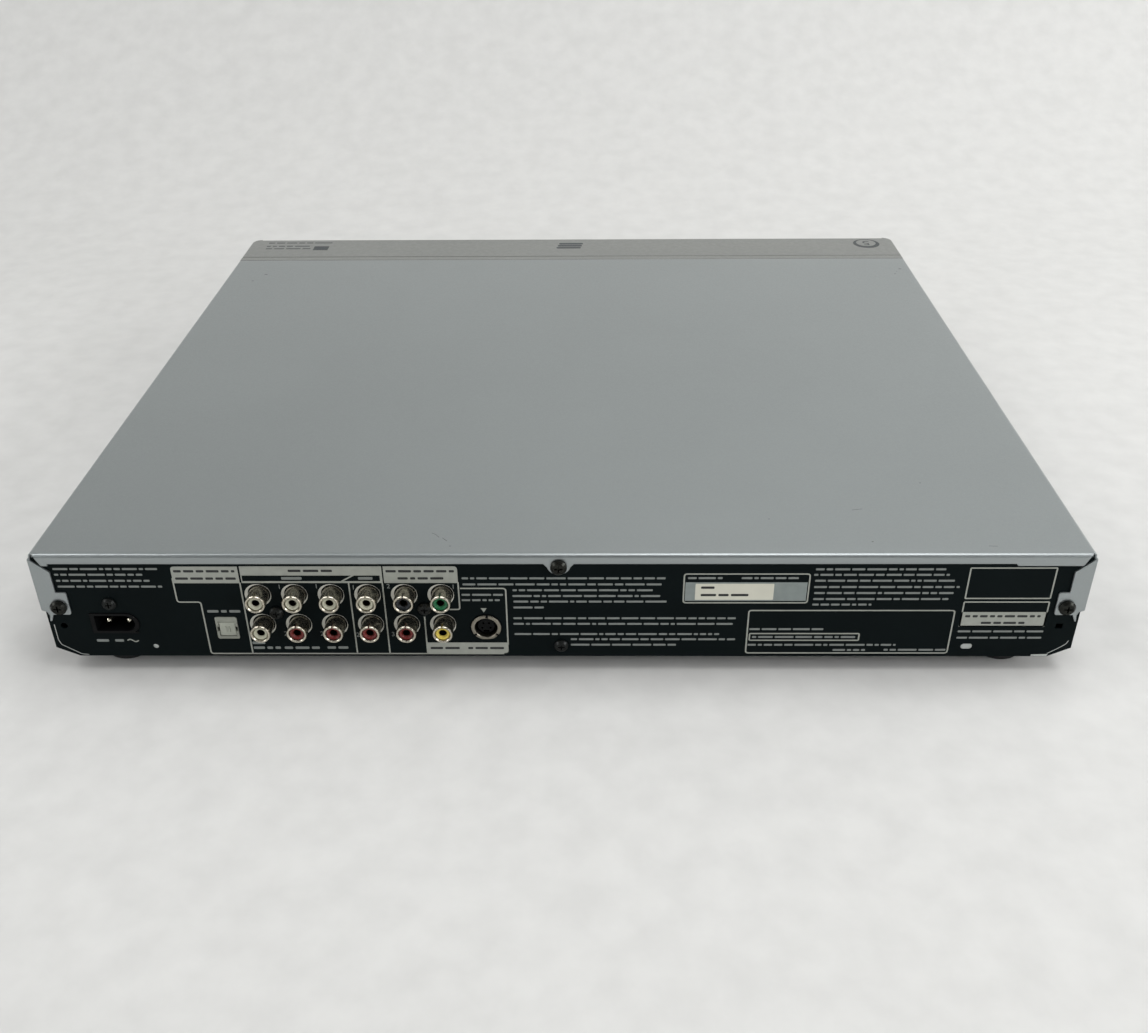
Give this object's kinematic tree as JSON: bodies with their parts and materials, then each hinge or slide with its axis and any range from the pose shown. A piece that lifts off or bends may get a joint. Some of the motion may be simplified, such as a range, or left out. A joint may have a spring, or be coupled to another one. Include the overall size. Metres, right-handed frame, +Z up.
{
  "type": "disc player",
  "caption": "Slim silver disc player with a front tray and carousel, black rear panel of phono, optical and video sockets, and the lifting disc drive inside.",
  "frame": {"origin": "on the floor, at the middle of the whole width and depth", "axes": "+Z up, the tray opens toward -Y, the sockets face +Y, +X is the right side seen from the front"},
  "size_m": [0.43, 0.394, 0.059],
  "materials": {
    "cover_paint": "satin silver-grey paint on folded steel",
    "chassis_black": "satin black painted steel",
    "front_silver": "satin silver painted moulding",
    "button_silver": "satin silver buttons",
    "window_smoke": "polished smoked plastic",
    "foot_black": "matt black moulding",
    "screw_zinc": "dark zinc plate",
    "screw_black": "black oxide steel",
    "socket_black": "black moulding",
    "pin_brass": "nickel-plated brass pins",
    "optical_grey": "grey moulding",
    "nickel": "bright nickel plate",
    "jack_white": "white nylon",
    "jack_red": "red nylon",
    "jack_black": "blue-black nylon",
    "jack_green": "green nylon",
    "jack_yellow": "yellow nylon",
    "board_green": "green solder mask",
    "chip_black": "black epoxy",
    "board_tan": "tan paper laminate",
    "winding": "yellow winding tape",
    "sleeve_blue": "dark sleeve",
    "mech_white": "natural white moulding",
    "motor_steel": "zinc-plated motor can",
    "pulley_brass": "turned brass",
    "belt_rubber": "matt black rubber",
    "gear_white": "white acetal",
    "slide_dark": "dark grey acetal",
    "plate_zinc": "zinc-plated steel sheet",
    "mech_black": "black moulding",
    "damper_blue": "soft blue rubber",
    "rod_steel": "ground steel",
    "pickup_metal": "die-cast metal",
    "lens_glass": "coated lens",
    "cap_silver": "satin silver cap"
  },
  "bodies": {
    "root": {"chassis_pan": "chassis_black", "rear_panel": "chassis_black", "top_cover": "cover_paint", "front_bezel": "front_silver", "display_window": "window_smoke", "feet": "foot_black", "cover_screws": "screw_zinc", "panel_screws": "screw_black", "ac_inlet": "socket_black", "inlet_pins": "pin_brass", "optical_socket": "optical_grey", "jack_block": "socket_black", "jack_barrels": "nickel", "jacks_white": "jack_white", "jacks_red": "jack_red", "jacks_black": "jack_black", "jacks_green": "jack_green", "jacks_yellow": "jack_yellow", "svideo_socket": "socket_black", "svideo_shell": "nickel", "main_board": "board_green", "board_chips": "chip_black", "power_board": "board_tan", "transformer": "winding", "capacitors": "sleeve_blue", "front_board": "board_green", "mech_frame": "mech_white", "loading_motor": "motor_steel", "drive_belt": "belt_rubber", "clamp_bridge": "plate_zinc"},
    "shutter": {"optical_shutter": "optical_grey"},
    "motor_pulley": {"motor_pulley": "pulley_brass"},
    "loading_pulley": {"loading_pulley": "gear_white"},
    "loading_gear": {"loading_gear": "gear_white"},
    "lift_slide": {"lift_slide": "slide_dark"},
    "clamper": {"clamper": "gear_white"},
    "traverse": {"traverse_holder": "mech_black", "traverse_dampers": "damper_blue", "traverse_plate": "plate_zinc", "spindle_motor": "motor_steel", "guide_rods": "rod_steel", "feed_motor": "motor_steel"},
    "turntable": {"turntable": "mech_black"},
    "pickup": {"pickup_sled": "pickup_metal", "pickup_lens": "lens_glass"},
    "feed_screw": {"feed_screw": "rod_steel"},
    "tray": {"tray": "mech_black", "tray_door": "front_silver", "glide_pads": "gear_white", "carousel_motor": "motor_steel"},
    "carousel": {"carousel": "mech_black", "hub_cap": "cap_silver"},
    "carousel_gear": {"carousel_gear": "gear_white"},
    "power_button": {"power_button": "button_silver"},
    "skip_back_button": {"skip_back_button": "button_silver"},
    "skip_next_button": {"skip_next_button": "button_silver"},
    "stop_button": {"stop_button": "button_silver"},
    "play_button": {"play_button": "button_silver"},
    "disc_button": {"disc_button": "button_silver"},
    "open_button": {"open_button": "button_silver"}
  },
  "joints": [
    {"name": "tray_slide", "type": "slide", "parent": "root", "child": "tray", "axis": [0, -1, 0], "range_m": [0, 0.19]},
    {"name": "loading_gear_turn", "type": "hinge", "parent": "root", "child": "loading_gear", "pos_m": [0.098, -0.165, 0.03], "axis": [0, 0, -1], "range_deg": [0, 909]},
    {"name": "loading_pulley_turn", "type": "hinge", "parent": "root", "child": "loading_pulley", "pos_m": [0.0735, -0.165, 0.025], "axis": [0, 0, 1], "range_deg": [0, 2350]},
    {"name": "motor_pulley_turn", "type": "hinge", "parent": "root", "child": "motor_pulley", "pos_m": [0.042, -0.165, 0.025], "axis": [0, 0, 1], "range_deg": [0, 6792]},
    {"name": "traverse_lift", "type": "hinge", "parent": "root", "child": "traverse", "pos_m": [0, 0.166, 0.03], "axis": [-1, 0, 0], "range_deg": [0, 7.7]},
    {"name": "lift_slide_move", "type": "slide", "parent": "root", "child": "lift_slide", "axis": [-1, 0, 0], "range_m": [0, 0.03]},
    {"name": "turntable_spin", "type": "hinge", "parent": "traverse", "child": "turntable", "pos_m": [0, 0.08021, 0.03757], "axis": [0, -0.134, 0.991], "continuous": true},
    {"name": "clamper_spin", "type": "hinge", "parent": "root", "child": "clamper", "pos_m": [0, 0.082, 0.054], "axis": [0, 0, 1], "continuous": true},
    {"name": "pickup_slide", "type": "slide", "parent": "traverse", "child": "pickup", "axis": [0, 0.991, 0.134], "range_m": [0, 0.034]},
    {"name": "feed_screw_turn", "type": "hinge", "parent": "traverse", "child": "feed_screw", "pos_m": [0.025, 0.11225, 0.02455], "axis": [0, 0.991, 0.134], "range_deg": [0, 4085]},
    {"name": "carousel_turn", "type": "hinge", "parent": "tray", "child": "carousel", "pos_m": [0, -0.022, 0.044], "axis": [0, 0, 1], "continuous": true},
    {"name": "carousel_gear_turn", "type": "hinge", "parent": "tray", "child": "carousel_gear", "pos_m": [-0.008, 0.0234, 0.042], "axis": [0, 0, 1], "continuous": true},
    {"name": "shutter_swing", "type": "hinge", "parent": "root", "child": "shutter", "pos_m": [0.1395, 0.18815, 0.0242], "axis": [-1, 0, 0], "range_deg": [0, 80], "stiffness_Nm_per_rad": 0.0002, "springref_deg": -17.19},
    {"name": "power_button_press", "type": "slide", "parent": "root", "child": "power_button", "axis": [0, 1, 0], "range_m": [0, 0.0008], "stiffness_N_per_m": 60, "springref_m": -0.001},
    {"name": "skip_back_button_press", "type": "slide", "parent": "root", "child": "skip_back_button", "axis": [0, 1, 0], "range_m": [0, 0.0008], "stiffness_N_per_m": 60, "springref_m": -0.001},
    {"name": "skip_next_button_press", "type": "slide", "parent": "root", "child": "skip_next_button", "axis": [0, 1, 0], "range_m": [0, 0.0008], "stiffness_N_per_m": 60, "springref_m": -0.001},
    {"name": "stop_button_press", "type": "slide", "parent": "root", "child": "stop_button", "axis": [0, 1, 0], "range_m": [0, 0.0008], "stiffness_N_per_m": 60, "springref_m": -0.001},
    {"name": "play_button_press", "type": "slide", "parent": "root", "child": "play_button", "axis": [0, 1, 0], "range_m": [0, 0.0008], "stiffness_N_per_m": 60, "springref_m": -0.001},
    {"name": "disc_button_press", "type": "slide", "parent": "root", "child": "disc_button", "axis": [0, 1, 0], "range_m": [0, 0.0008], "stiffness_N_per_m": 60, "springref_m": -0.001},
    {"name": "open_button_press", "type": "slide", "parent": "root", "child": "open_button", "axis": [0, 1, 0], "range_m": [0, 0.0008], "stiffness_N_per_m": 60, "springref_m": -0.001}
  ],
  "couplings": [
    {"joint": "loading_gear_turn", "follows": "tray_slide", "rad_per_m": 83.333},
    {"joint": "loading_pulley_turn", "follows": "tray_slide", "rad_per_m": 215.69},
    {"joint": "motor_pulley_turn", "follows": "tray_slide", "rad_per_m": 623.74},
    {"joint": "lift_slide_move", "follows": "traverse_lift", "m_per_rad": 0.22323},
    {"joint": "clamper_spin", "follows": "turntable_spin", "ratio": 1},
    {"joint": "feed_screw_turn", "follows": "pickup_slide", "rad_per_m": 2094.4},
    {"joint": "carousel_gear_turn", "follows": "carousel_turn", "ratio": -4.75}
  ]
}
